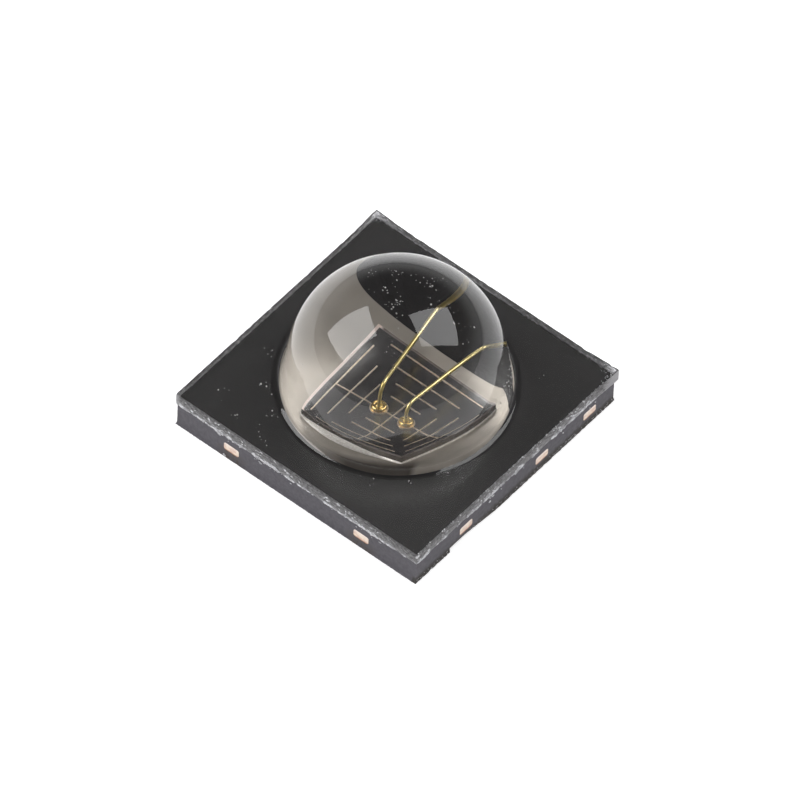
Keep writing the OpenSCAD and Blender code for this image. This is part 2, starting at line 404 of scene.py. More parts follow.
@dataclass(frozen=True)
class MouldCompound(Finish):
    """Black epoxy mould compound: smooth and dark under the silicone, grey and dusty where it was sawn."""

    name: str = "epoxy_mould_compound"
    moulded: str = "#221f21"
    sawn: str = "#646168"
    sawn_dark: str = "#58565c"
    tie_brown: str = "#4b4136"
    foot: str = "#37332d"
    ior: float = 1.5
    shine: float = 0.4
    rough: Ramp = (0.0, 1.0, 0.4, 0.62)
    speckle_mm: float = 0.05
    grain_mm: float = 0.02
    grain_depth_mm: float = 0.004
    tie_x: float = 1.01
    foot_wave_mm: float = 0.09
    side: Ramp = (1.82, 1.825)
    top: Ramp = (0.386, 0.384)
    beside_tie: Ramp = (0.26, 0.11, 0.0, 0.75)
    under_tie: Ramp = (0.2, 0.13)
    right: Ramp = (1.8, 1.82, 0.0, 0.82)
    low: Ramp = (0.17, 0.12)

    def surface(self, add: Adder, place: Node) -> Node:
        """Returns the shader: sawn sides, told from the top by their place, with mottled brown beside and
        below the tie ends, and a dark foot.
        """
        x, y, z = add("SeparateXYZ", [place]).outputs
        cut = zone_share(add, (off_centre(add, x, y, "MAXIMUM"), self.side), (z, self.top))
        speckle = add("TexNoise", {"Vector": place, "Scale": 1 / self.speckle_mm, "Detail": 5.0})
        mottle = add("MapRange", [speckle, *NOISE_SPAN])
        aside = add("Math", [x], operation="ABSOLUTE")
        aside = add("Math", [aside, self.tie_x], operation="SUBTRACT")
        aside = add("Math", [aside], operation="ABSOLUTE")
        # Mottled brown beside and below the tie ends
        near_tie = zone_share(add, (aside, self.beside_tie), (z, self.under_tie), (mottle, (0.0, 1.0)))
        level = add("Math", [speckle, self.foot_wave_mm, z], operation="MULTIPLY_ADD")
        foot = zone_share(add, (x, self.right), (level, self.low))
        colour = linear(self.sawn_dark)
        for share, tone in ((mottle, self.sawn), (near_tie, self.tie_brown), (foot, self.foot)):
            colour = add("Mix", {0: share, 6: colour, 7: linear(tone)}, data_type="RGBA")
        colour = add("Mix", {0: cut, 6: linear(self.moulded), 7: colour}, data_type="RGBA")
        rough = add("MapRange", [cut, *self.rough])
        grain = add("TexNoise", {"Vector": place, "Scale": 1 / self.grain_mm, "Detail": 4.0})
        normal = add("Bump", {"Height": grain, "Distance": self.grain_depth_mm * MM, "Strength": 0.6})
        look = {"IOR": self.ior, "Specular IOR Level": self.shine, "Base Color": colour, "Roughness": rough}
        return add("BsdfPrincipled", {**look, "Normal": normal})


@dataclass(frozen=True)
class PlatedCopper(Finish):
    """Copper lead frame with satin silver plating: soft and pale, and bare pink copper where it was sawn.

    Painted shade darkens the plating in front of the chip; front and right are the directions of the
    photograph.
    """

    name: str = "copper_silver_plated"
    silver: str = "#c8c1b8"
    silver_dull: str = "#b4ada4"
    # Tone of the painted shade on the pad in front of the chip
    painted_shade: str = "#5f5853"
    copper: str = "#e9dccd"
    copper_dull: str = "#d9bfb2"
    copper_pale: str = "#f4e8e0"
    brown: str = "#a8683f"
    rough: Ramp = (0.0, 1.0, 0.5, 0.56)
    cloud_mm: float = 0.3
    scrape_mm: float = 0.07
    scrape: Ramp = (0.4, 0.65)
    cut: Ramp = (1.852, 1.855)
    upper: Ramp = (0.205, 0.25)
    lower: Ramp = (0.156, 0.13, 0.0, 0.8)
    front: Point = (0.614, -0.79, 0.0)
    right: Point = (0.79, 0.614, 0.0)
    # Where the painted shade lies: ahead of the chip, between its sides, and on the pad's top
    shade_ahead: Ramp = (0.6, 0.8, 0.0, 0.9)
    shade_left: Ramp = (-0.85, -0.5)
    shade_right: Ramp = (0.25, 0.18)
    shade_low: Ramp = (0.2, 0.24)

    def surface(self, add: Adder, place: Node) -> Node:
        """Returns the shader: clouded silver with painted shade in front of the chip, and copper on the sawn
        ends, browner at their lower edge.
        """
        x, y, z = add("SeparateXYZ", [place]).outputs
        cloud = add("TexNoise", {"Vector": place, "Scale": 1 / self.cloud_mm, "Detail": 3.0})
        cloud = add("MapRange", [cloud, *NOISE_SPAN])
        scrape = add("TexNoise", {"Vector": place, "Scale": 1 / self.scrape_mm, "Detail": 3.0})
        scrape = add("MapRange", [scrape, *self.scrape])
        ahead = add("VectorMath", [place, self.front], operation="DOT_PRODUCT")
        aside = add("VectorMath", [place, self.right], operation="DOT_PRODUCT")
        sides = (aside, self.shade_left), (aside, self.shade_right)
        # Share of painted shade on the pad in front of the chip
        dark = zone_share(add, (ahead, self.shade_ahead), *sides, (z, self.shade_low))
        rim = add("MapRange", [z, *self.upper])
        edge = add("MapRange", [z, *self.lower])
        cut = add("MapRange", [off_centre(add, x, y, "MAXIMUM"), *self.cut])
        silver, copper = linear(self.silver_dull), linear(self.copper)
        for share, tone in ((cloud, self.silver), (dark, self.painted_shade)):
            silver = add("Mix", {0: share, 6: silver, 7: linear(tone)}, data_type="RGBA")
        for share, tone in ((scrape, self.copper_dull), (rim, self.copper_pale), (edge, self.brown)):
            copper = add("Mix", {0: share, 6: copper, 7: linear(tone)}, data_type="RGBA")
        colour = add("Mix", {0: cut, 6: silver, 7: copper}, data_type="RGBA")
        rough = add("MapRange", [cloud, *self.rough])
        return add("BsdfPrincipled", {"Metallic": 1.0, "Base Color": colour, "Roughness": rough})


@dataclass(frozen=True)
class Semiconductor(Finish):
    """Semiconductor crystal with a coated top: nearly black, with a painted highlight on the edge where the
    mesa steps down.
    """

    name: str = "semiconductor_coated"
    dark: str = "#252122"
    lighter: str = "#353030"
    # Tone of the painted highlight on the mesa's rim; left keeps it full on the -X side and weak elsewhere
    edge: str = "#fdeae0"
    side: str = "#57514e"
    ior: float = 2.0
    rough: Ramp = (0.0, 1.0, 0.2, 0.26)
    cloud_mm: float = 0.2
    middle: Plan = (-0.015, -0.005)
    beside: Ramp = (0.474, 0.476)
    above: Ramp = (0.357, 0.359)
    left: Ramp = (-0.473, -0.455, 1.0, 0.2)

    def surface(self, add: Adder, place: Node) -> Node:
        """Returns the shader: clouded black, a painted highlight on the mesa's rim that is brightest on its
        -X side, and grey sides.
        """
        shift = (-self.middle[0], -self.middle[1], 0.0)
        inside = add("Mapping", {"Vector": place, "Location": shift})
        x, y, z = add("SeparateXYZ", [inside]).outputs
        # Painted highlight on the mesa's rim, strongest on the -X side
        ledge_highlight = zone_share(add, (off_centre(add, x, y, "MAXIMUM"), self.beside), (x, self.left))
        above = add("MapRange", [z, *self.above])
        cloud = add("TexNoise", {"Vector": place, "Scale": 1 / self.cloud_mm, "Detail": 3.0})
        cloud = add("MapRange", [cloud, *NOISE_SPAN])
        colour = linear(self.dark)
        for share, tone in ((cloud, self.lighter), (ledge_highlight, self.edge)):
            colour = add("Mix", {0: share, 6: colour, 7: linear(tone)}, data_type="RGBA")
        colour = add("Mix", {0: above, 6: linear(self.side), 7: colour}, data_type="RGBA")
        rough = add("MapRange", [cloud, *self.rough])
        return add("BsdfPrincipled", {"IOR": self.ior, "Base Color": colour, "Roughness": rough})


@dataclass(frozen=True)
class Metal(Finish):
    """A plain metal with a little grain: two close tones, soft or sharp highlights, and small dents."""

    bright: str
    dull: str
    rough: float
    grain_mm: float = 0.02
    dent_mm: float = 0.001

    def surface(self, add: Adder, place: Node) -> Node:
        """Returns the shader, whose tone, roughness and dents all follow the grain."""
        noise = add("TexNoise", {"Vector": place, "Scale": 1 / self.grain_mm, "Detail": 3.0})
        grain = add("MapRange", [noise, *NOISE_SPAN])
        colour = add("Mix", {0: grain, 6: linear(self.bright), 7: linear(self.dull)}, data_type="RGBA")
        rough = add("MapRange", [grain, 0.0, 1.0, self.rough * 0.8, self.rough * 1.2])
        normal = add("Bump", {"Height": noise, "Distance": self.dent_mm * MM, "Strength": 0.6})
        look = {"Metallic": 1.0, "Base Color": colour, "Roughness": rough}
        return add("BsdfPrincipled", {**look, "Normal": normal})


# Reflowed solder is a bright, soft bead, and evaporated contact metal gives pale gold lines
SOLDER = Metal("solder_reflowed", "#fbf8f3", "#e4dfd8", 0.47)
CONTACT = Metal("contact_gold_evaporated", "#f2e4d3", "#d8c6b2", 0.42)
# Drawn wire shows long clean highlights, and the bonded ball is a deeper, dented gold
GOLD = Metal("gold_drawn_wire", "#f2e2a6", "#dac57e", 0.3, 0.06, 0.0004)
BALL = Metal("gold_bonded_ball", "#f0d896", "#a07c3c", 0.26, 0.02, 0.004)


@dataclass(frozen=True)
class Paper(Finish):
    """White paper that shows bright to the camera, also through the lens, and keeps the part's shadow."""

    name: str = "paper_white"
    tone: str = "#e8e8e8"
    glow: float = 0.6

    def surface(self, add: Adder, place: Node) -> Node:
        """Returns a matte surface with a glow that lights nothing else."""
        path = add("LightPath").outputs
        seen = path["Is Camera Ray"]
        for kind in ("Is Glossy Ray", "Is Transmission Ray"):
            seen = add("Math", [seen, path[kind]], operation="MAXIMUM")
        glow = add("Math", [seen, self.glow], operation="MULTIPLY")
        matte = add("BsdfDiffuse", {"Color": linear(self.tone)})
        return add("AddShader", [matte, add("Emission", {"Strength": glow})])


@dataclass
class LensMoulding:
    """The clear lens: dome, collar, flange and the plug that fills the cavity."""

    half: float = 1.875
    flange_low: float = 0.39
    flange_top: float = 0.57
    dome_r: float = 1.335
    dome_z: float = 0.915
    foot_r: float = 1.4
    fillet: float = 0.12
    cavity_top_r: float = 1.31
    cavity_floor_r: float = 1.24
    floor_z: float = 0.25
    body_half: float = 1.86
    saw_mm: float = 0.004
    nick_mm: float = 0.003
    flare: float = 0.022
    flare_l: float = 0.3
    sink: float = 0.004
    tuck: float = 0.02
    overlap: float = 0.002
    worn_edge: Plan = (0.012, 0.018)
    count: int = 800
    side_rings: int = 10
    dome_rings: int = 64
    seed: int = 11

    def profile(self) -> Array:
        """Radius and height from the foot of the fillet up to the dome's last ring.

        The collar is the straight line through its foot that touches the dome's circle, at the lift where
        the circle leans as much as the line does. The fillet is an arc that touches flange and collar.

        Returns:
            Pairs of radius and height.
        """
        collar = self.dome_z - self.flange_top
        draft = math.acos(self.dome_r / math.hypot(self.foot_r, collar)) - math.atan2(collar, self.foot_r)
        centre_r = self.foot_r + self.fillet * (1 - math.sin(draft)) / math.cos(draft)
        turn = np.linspace(0.0, math.pi / 2 - draft, 10)
        arc = np.c_[-np.sin(turn), 1 - np.cos(turn)] * self.fillet + (centre_r, self.flange_top)
        lift = draft + (math.pi / 2 - draft) * np.arange(self.dome_rings) / self.dome_rings
        dome = np.c_[np.cos(lift), np.sin(lift)] * self.dome_r + (0.0, self.dome_z)
        return np.concatenate([arc, np.linspace(arc[-1], dome[0], 7)[1:-1], dome])

    def build(self) -> None:
        """Builds the lens as one closed shell of rings.

        The plug's rings and the underside of the flange are sunk a little into the package, which hides
        them, so that no film of air is left. The side of the flange is a stack of square rings, each set
        back by the saw's waves, and the topmost ring has deeper nicks. At the two rear corners the rings
        flare out by a Gaussian of the distance from the corner.
        """
        outline = square_ring(self.count)
        circle = on_circle(outline)
        rng = np.random.default_rng(self.seed)
        waves = np.abs(wavy(rng, (self.side_rings, self.count), (1.2, 1.6)))
        wear = self.saw_mm * (0.8 + 0.25 * waves)
        nick = self.nick_mm * np.clip(np.abs(wavy(rng, (self.count,), (1.2,))) - 0.8, 0, 2)
        wear[-1] += nick
        apart = self.half * np.linalg.norm(np.abs(outline) - 1, axis=1)
        flare = np.where(outline[:, 1] > 0, self.flare * np.exp(-((apart / self.flare_l) ** 2)), 0.0)
        rings = [
            (circle * (self.cavity_floor_r + self.sink), self.floor_z - self.sink),
            (circle * (self.cavity_top_r + self.sink), self.flange_low - self.sink),
            (outline * (self.body_half - self.tuck), self.flange_low - self.sink),
            (outline * (self.body_half + self.overlap), self.flange_low),
        ]
        first_side = len(rings)
        for worn, height in zip(wear, np.linspace(self.flange_low, self.flange_top, self.side_rings)):
            rings.append((outline * (self.half - worn + flare)[:, None], height))
        last_side = len(rings) - 1
        rings[last_side] = (rings[last_side][0], self.flange_top - nick)
        worn_top = self.half - self.saw_mm + flare[:, None]
        rings += [(outline * (worn_top - inner), self.flange_top) for inner in self.worn_edge]
        rings += [(circle * r, z) for r, z in self.profile()]
        low, high = (0, 0, self.floor_z - self.sink), (0, 0, self.dome_z + self.dome_r)
        shell = closed_shell(stack_rings(rings), low, high)
        finishes = [finish.material() for finish in (ClearSilicone(), SawnSilicone(), FLANGE)]
        piece = make_piece("lens_moulding", shell, finishes)
        zone = np.full(len(shell.quads) + len(shell.triangles), Zone.POLISHED, dtype=np.int32)
        zone[(first_side - 1) * self.count : last_side * self.count] = Zone.SAWN
        zone[last_side * self.count : (last_side + 3) * self.count] = Zone.FLANGE
        piece.data.polygons.foreach_set("material_index", zone)
        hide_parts("lens")


@dataclass
class MouldedBody:
    """The black package: sawn sides with the burr at their foot, a flat top and the cavity."""

    half: float = 1.875
    inset: float = 0.015
    height: float = 0.39
    burr_h: float = 0.05
    break_start: float = -1.22
    break_l: float = 0.9
    break_depth: float = 0.03
    break_run: float = 0.025
    cavity_top_r: float = 1.31
    cavity_floor_r: float = 1.24
    floor_z: float = 0.25
    relief: float = 0.002
    wear: float = 0.0008
    rough_foot: float = 0.003
    plain_foot: float = 0.0012
    lip: float = 0.009
    lip_h: float = 0.004
    count: int = 1600
    seed: int = 5

    def broken(self, along: Array, z: Array | float) -> Array:
        """How far the +X side stands back where its burr broke off.

        The depth is full over the first third of the break, falls to nothing over the rest, and runs out
        upwards.

        Args:
            along: Places along the side, in Y.
            z: Heights.

        Returns:
            Depth behind the flange, nothing where the burr is whole.
        """
        taper = np.clip((self.break_start + self.break_l - along) / (self.break_l * 2 / 3), 0, 1)
        depth = np.where(along > self.break_start, taper, 0.0) * (self.inset + self.break_depth)
        return depth * np.clip((self.burr_h + self.break_depth - z) / self.break_run, 0, 1)

    def build(self) -> None:
        """Builds the body as one closed shell of rings.

        A ring at height z stands back from the flange by the inset, less the burr's flare below burr_h, plus
        wear by the saw. On the +X side the foot is rougher, and where the burr broke off, the ring stands
        back by the break's depth. The sides, the floor and the underside stand back by the relief, so that
        the leads show in them. At the top a thin dark lip reaches out below the flange, put in to shade and
        cover the pale strip of its underside.
        """
        outline = square_ring(self.count)
        circle = on_circle(outline)
        rng = np.random.default_rng(self.seed)
        along = outline[:, 1] * self.half
        right = outline[:, 0] > ON_SIDE
        ragged = np.abs(wavy(rng, (self.count,), (1.4,))) * np.where(right, self.rough_foot, self.plain_foot)
        levels = (0, self.burr_h, 2 * self.burr_h, self.height - self.lip_h)
        heights = np.interp(np.arange(23), (0, 5, 10, 22), levels)
        worn = self.wear * np.abs(wavy(rng, (len(heights), self.count), (1.0, 2.5)))
        rings = []
        for z, saw in zip(heights, worn):
            low = max(0.0, 1 - z / self.burr_h)
            back = self.inset * (1 - low) + self.relief + saw + low * ragged
            broken = np.where(right, self.broken(along, z), 0.0)
            rings.append((outline * (self.half - np.maximum(back, broken))[:, None], max(z, self.relief)))
        floor = self.floor_z - self.relief
        rings += [
            # Dark lip under the flange's edge, put in to shade and cover the pale strip below it
            (outline * (self.half - self.lip), self.height),
            (circle * self.cavity_top_r, self.height),
            (circle * self.cavity_floor_r, floor),
        ]
        shell = closed_shell(stack_rings(rings), (0, 0, self.relief), (0, 0, floor))
        piece = make_piece("package_body", shell, [MouldCompound().material()])
        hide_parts("body")


@dataclass
class DieAttach:
    """The solder under the chip, squeezed out to a bright fillet round it."""

    middle: Plan = (-0.015, -0.005)
    chip_half: float = 0.495
    pad_z: float = 0.25
    reach: float = 0.011
    bulge: float = 0.082
    climb: float = 0.022
    slope: float = 0.62
    foot: float = 0.003
    sink: float = 0.002
    inside: float = 0.02
    count: int = 480
    rings: int = 10

    def build(self) -> None:
        """Builds the fillet as one closed shell of rings.

        The outline is the chip's square, moved out by the reach. On the -Y side it also bulges as
        (1 - x)^2 (1 + x) of the place x along the side, scaled to 1 at its highest, a third of the way from
        the -X end. From there inwards the height rises with the distance to the power 1.4, up to the climb
        at the chip's side, or higher where the fillet is wide. The last ring is hidden in the chip.
        """
        outline = square_ring(self.count)
        x = outline[:, 0]
        front = np.where(outline[:, 1] < -ON_SIDE, (1 - x) ** 2 * (1 + x) * 27 / 32, 0.0)
        edge = np.c_[np.full(self.count, self.reach), self.reach + self.bulge * front]
        climb = np.maximum(self.climb, self.slope * edge[:, 1])
        low, high = self.pad_z - self.sink, self.pad_z + self.climb
        rings = [(self.middle + outline * (self.chip_half + edge), low)]
        for inward in np.linspace(0.0, 1.0, self.rings):
            plan = self.middle + outline * (self.chip_half + edge * (1 - inward))
            rings.append((plan, self.pad_z + self.foot + climb * inward**1.4))
        rings.append((self.middle + outline * (self.chip_half - self.inside), high))
        shell = closed_shell(stack_rings(rings), (*self.middle, low), (*self.middle, high))
        piece = make_piece("die_attach_fillet", shell, [SOLDER.material()])
        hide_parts("die_attach")


@dataclass
class BondWire:
    """One gold bond wire with its ball on the chip and its stitch on the lead."""

    name: str
    node: str
    start: Plan
    stitch: Plan
    contact_z: float = 0.376
    lead_z: float = 0.25
    wire_d: float = 0.025
    ball_d: float = 0.105
    ball_h: float = 0.05
    loop_h: float = 0.2
    loop_r: float = 0.095
    knee_h: float = 0.203
    knee_run: float = 0.19
    bend_r: float = 0.05
    stitch_l: float = 0.1
    neck_rings: int = 10
    sides: int = 20

    def ball(self) -> tuple[Array, Array]:
        """Heights and radii of the squashed ball: a round rim, the capillary's groove, and the neck."""
        share = np.linspace(0, 1, 48)
        knots = np.linspace(0, 1, 13)
        rises = [0, 0.08, 0.2, 0.34, 0.46, 0.53, 0.54, 0.5, 0.46, 0.48, 0.6, 0.8, 1.0]
        widths = [0.45, 0.485, 0.5, 0.49, 0.455, 0.41, 0.36, 0.31, 0.26, 0.21, 0.17, 0.14, 0.12]
        height, radius = (np.interp(share, knots, values) for values in (rises, widths))
        return self.contact_z + self.ball_h * height, self.ball_d * radius

    def route(self) -> Array:
        """Centre line above the ball, in the wire's own upright plane.

        Straight runs join the ball, the top of the loop, the knee and the stitch. At each corner the line is
        a quadratic curve between points that lie a bend's tangent length away.

        Returns:
            Points with the distance along the run and the height.
        """
        length = math.dist(self.start, self.stitch)
        knots = np.array(
            [
                (0, self.contact_z + self.ball_h),
                (0, self.contact_z + self.loop_h),
                (length - self.knee_run, self.lead_z + self.knee_h),
                (length, self.lead_z + self.wire_d * 0.5),
                (length + self.stitch_l - self.wire_d, self.lead_z + self.wire_d * 0.12),
            ]
        )
        share = np.linspace(0, 1, 24)[:, None]
        line = [knots[:1] + (0, 0.002)]
        radii = (self.loop_r, self.bend_r, self.bend_r)
        for before, corner, after, radius in zip(knots[:-2], knots[1:-1], knots[2:], radii):
            into, out = ((q - p) / np.linalg.norm(q - p) for p, q in ((before, corner), (corner, after)))
            cut = radius * math.tan(math.acos(float(np.clip(into @ out, -1, 1))) / 2)
            a, b = corner - cut * into, corner + cut * out
            line.append((1 - share) ** 2 * a + 2 * share * (1 - share) * corner + share**2 * b)
        line.append(knots[-1:])
        return np.concatenate(line)

    def build(self, finishes: list[Material]) -> None:
        """Carries a round section up the ball and along the route.

        The section is level over the ball and square to the line along the loop. Over the stitch it becomes
        twice as wide and a fifth as thick.

        Args:
            finishes: Materials of the wire and of the ball.
        """
        line = self.route()
        step = np.gradient(line, axis=0)
        step /= np.linalg.norm(step, axis=1)[:, None]
        length = math.dist(self.start, self.stitch)
        run = (np.array(self.stitch) - self.start) / length
        ahead = np.array([run[0], run[1], 0.0])
        sideways = np.array([-run[1], run[0], 0.0])
        ball_z, ball_r = self.ball()
        distance = np.r_[np.zeros(len(ball_z)), line[:, 0]]
        height = np.r_[ball_z, line[:, 1]]
        radius = np.r_[ball_r, np.full(len(line), self.wire_d / 2)]
        centre = np.array([*self.start, 0.0]) + distance[:, None] * ahead + height[:, None] * UP
        inward = np.concatenate([np.tile(ahead, (len(ball_z), 1)), step[:, 1:] * ahead - step[:, :1] * UP])
        press = np.clip((distance - length + self.wire_d) / self.stitch_l, 0, 1)
        turn = np.linspace(0, 2 * np.pi, self.sides, endpoint=False)
        grid = (
            centre[:, None]
            + ((radius * (1 + press))[:, None] * np.cos(turn))[..., None] * sideways
            + ((radius * (1 - 0.8 * press))[:, None] * np.sin(turn))[..., None] * inward[:, None]
        )
        shell = closed_shell(grid[:, ::-1], tuple(centre[0]), tuple(centre[-1]))
        piece = make_piece(self.name, shell, finishes, 50.0)
        on_ball = np.zeros(len(shell.quads) + len(shell.triangles), dtype=np.int32)
        on_ball[: (len(ball_z) - self.neck_rings) * self.sides] = 1
        piece.data.polygons.foreach_set("material_index", on_ball)
        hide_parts(self.node)


@dataclass
class Crumbs:
    """Many small irregular bits in one mesh, each a dented ball of two rings."""

    name: str
    seed: int
    dent: Plan = (0.75, 1.1)

    def build(self, places: Array, frames: Array, sizes: Array, finish: Finish) -> None:
        """Copies one small ball to every place, dented, stretched and turned.

        The ball's rings lie at equal steps of latitude. Each point of a copy is moved along its radius by a
        random share within the dent's limits, then scaled by the copy's sizes along its own three axes.

        Args:
            places: Middle of each crumb.
            frames: Three unit axes of each crumb.
            sizes: Half-size of each crumb along its axes.
            finish: Finish of the crumbs.
        """
        rng = np.random.default_rng(self.seed)
        ring = on_circle(square_ring(8))
        lift = np.linspace(-math.pi / 2, math.pi / 2, 4)[1:-1]
        grid = stack_rings([(ring * math.cos(a), math.sin(a)) for a in lift])
        unit = closed_shell(grid, (0, 0, -1), (0, 0, 1))
        dents = rng.uniform(*self.dent, (len(places), len(unit.points), 1))
        local = unit.points[None] * dents * sizes[:, None]
        points = places[:, None] + np.einsum("cpk,ckx->cpx", local, frames)
        offset = (np.arange(len(places)) * len(unit.points))[:, None, None]
        shell = Shell(
            points.reshape(-1, 3),
            (unit.quads[None] + offset).reshape(-1, 4),
            (unit.triangles[None] + offset).reshape(-1, 3),
        )
        make_piece(self.name, shell, [finish.material()], 60.0)


@dataclass
class SawChips:
    """White crumbs of silicone that the saw tore out along the seam between flange and body.

    The four sides are numbered counterclockwise from +X.
    """

    body: MouldedBody
    flange_side: float = 1.8705
    body_side: float = 1.858
    seam_z: float = 0.39
    flange_t: float = 0.18
    reach: float = 1.862
    foot_reach: float = 1.85
    per_side: int = 2000
    foot_count: int = 240
    edge_count: int = 110
    corner_count: int = 320
    shares: Point = (0.72, 0.22, 0.06)
    on_seam: Plan = (0.004, 0.01)
    below: float = 0.035
    lowest: float = -0.2
    size_mm: float = 0.015
    size_span: Plan = (0.005, 0.04)
    foot_z: Plan = (0.008, 0.05)
    foot_size: Plan = (0.004, 0.009)
    edge_size: Plan = (0.005, 0.013)
    thickest: float = 0.006
    seed: int = 23

    def sides(self, rng: np.random.Generator) -> tuple[Array, ...]:
        """Scatters crumbs along the four sides, more of them where a slow random wave is high.

        Most lie on the seam, some higher on the flange and a few below it. Smaller ones lie along the foot
        and the flange's upper edge on the +X side, and single ones at the -Y foot and high on the -X side.

        Args:
            rng: Source of the places.

        Returns:
            Side, place along it, height over the seam and size of each crumb.
        """
        count = 4 * self.per_side
        side = np.repeat(np.arange(4), self.per_side)
        slide = rng.uniform(-1.0, 1.0, count)
        wave = wavy(rng, (4, 400), (0, 3.2))[side, ((slide + 1) * 199).astype(int)]
        spread = rng.choice(3, count, p=self.shares)
        level = rng.normal(*self.on_seam, count)
        higher = rng.uniform(0.0, 0.9, count) ** 1.8 * self.flange_t
        lower = -rng.exponential(self.below, count)
        rise = np.choose(spread, [level, higher, lower])
        keep = (rng.uniform(-1.2, 1.0, count) < wave) & (rise > self.lowest)
        size = self.size_mm * np.exp(rng.normal(0.0, 0.5, np.count_nonzero(keep)))
        size = size.clip(*self.size_span)
        foot_slide = rng.uniform(-self.foot_reach, self.foot_reach, self.foot_count)
        edge_slide = rng.uniform(-self.foot_reach, self.foot_reach, self.edge_count)
        foot_rise = rng.uniform(*self.foot_z, self.foot_count) - self.seam_z
        edge_rise = self.flange_t - rng.exponential(0.02, self.edge_count).clip(0.0, 0.1)
        foot_size = rng.uniform(*self.foot_size, self.foot_count)
        edge_size = rng.uniform(*self.edge_size, self.edge_count)
        return (
            np.r_[side[keep], np.zeros(self.foot_count + self.edge_count, int), 3, 2],
            np.r_[slide[keep] * self.reach, foot_slide, edge_slide, -1.11, -1.46],
            np.r_[rise[keep], foot_rise, edge_rise, 0.02 - self.seam_z, 0.17],
            np.r_[size, foot_size, edge_size, 0.03, 0.04],
        )

    def corners(self, rng: np.random.Generator) -> tuple[Array, ...]:
        """Scatters flat crumbs over the flange's top, ever fewer away from its two rear corners.

        Args:
            rng: Source of the places.

        Returns:
            Places, axes and half-sizes of the crumbs.
        """
        count = self.corner_count
        away = self.flange_side - rng.exponential(0.04, (count, 2)).clip(0.0, 0.25)
        level = np.full(count, self.seam_z + self.flange_t)
        places = np.c_[away[:, 0] * rng.choice((-1.0, 1.0), count), away[:, 1], level]
        long_way, across = level_axes(rng.uniform(0, 2 * np.pi, count))
        frames = np.stack([long_way, across, np.tile(UP, (count, 1))], axis=1)
        size = rng.uniform(0.004, 0.01, count)
        return places, frames, np.c_[size, size * 0.6, size * 0.25]

    def build(self) -> None:
        """Sets every crumb on the side where it lies.

        Each is longest along its side and tilted a little. A crumb below the seam lies on the body, which
        flares out at its foot and stands back where the burr broke off. On the +X side, above the foot,
        crumbs stand out twice as far.
        """
        rng = np.random.default_rng(self.seed)
        side, slide, rise, size = self.sides(rng)
        normal, along = level_axes(side * math.pi / 2)
        tilt = rng.normal(0.0, 0.35, len(side))[:, None]
        long_way = np.cos(tilt) * along + np.sin(tilt) * UP
        high_way = np.cos(tilt) * UP - np.sin(tilt) * along
        z = self.seam_z + rise
        flare = np.clip(1 - z / self.body.burr_h, 0, 1) * (self.flange_side - self.body_side)
        gone = np.where(side == 0, self.body.broken(slide, z), 0.0)
        low_seat = np.minimum(self.body_side + flare, self.body.half - gone)
        seat = np.where(rise > -0.006, self.flange_side, low_seat)
        places = normal * seat[:, None] + along * slide[:, None] + UP * z[:, None]
        thin = rng.uniform(0.3, 0.7, len(size))
        proud = np.where((side == 0) & (rise > self.lowest), 2.0, 1.0)
        sizes = np.c_[size, size * thin, np.minimum(size * 0.5, self.thickest) * proud]
        frames = np.stack([long_way, high_way, normal], axis=1)
        torn = [np.concatenate(pair) for pair in zip((places, frames, sizes), self.corners(rng))]
        Crumbs("silicone_saw_chips", self.seed).build(*torn, TORN)


# Place in plan and number of pairs of specks of each cluster, as the photograph shows them
CLUSTERS = (
    (-0.53, 0.11, 5), (-0.26, 0.26, 6), (-0.03, 0.37, 2), (-0.16, -0.04, 5), (0.04, -0.14, 10),
    (0.18, -0.26, 2), (0.16, 0.38, 10), (0.31, 0.18, 3), (0.16, 0.62, 3), (-0.51, -0.46, 2),
    (-0.3, -0.28, 2), (0.33, -0.6, 4), (0.53, 0.3, 2), (0.73, 0.38, 2), (0.88, 0.18, 2),
    (0.66, 0.2, 2), (1.1, 0.1, 2), (-0.58, -1.12, 1), (0.73, -1.37, 2), (1.04, -1.09, 2),
    (-0.66, -1.78, 3), (-0.78, -1.62, 2), (-1.42, -1.5, 2), (-1.1, -1.69, 2), (1.3, 1.2, 2),
    (-1.5, 0.9, 2), (1.5, -0.6, 2), (-1.44, -0.68, 4), (-1.17, -1.09, 4), (-0.81, -1.38, 4),
)


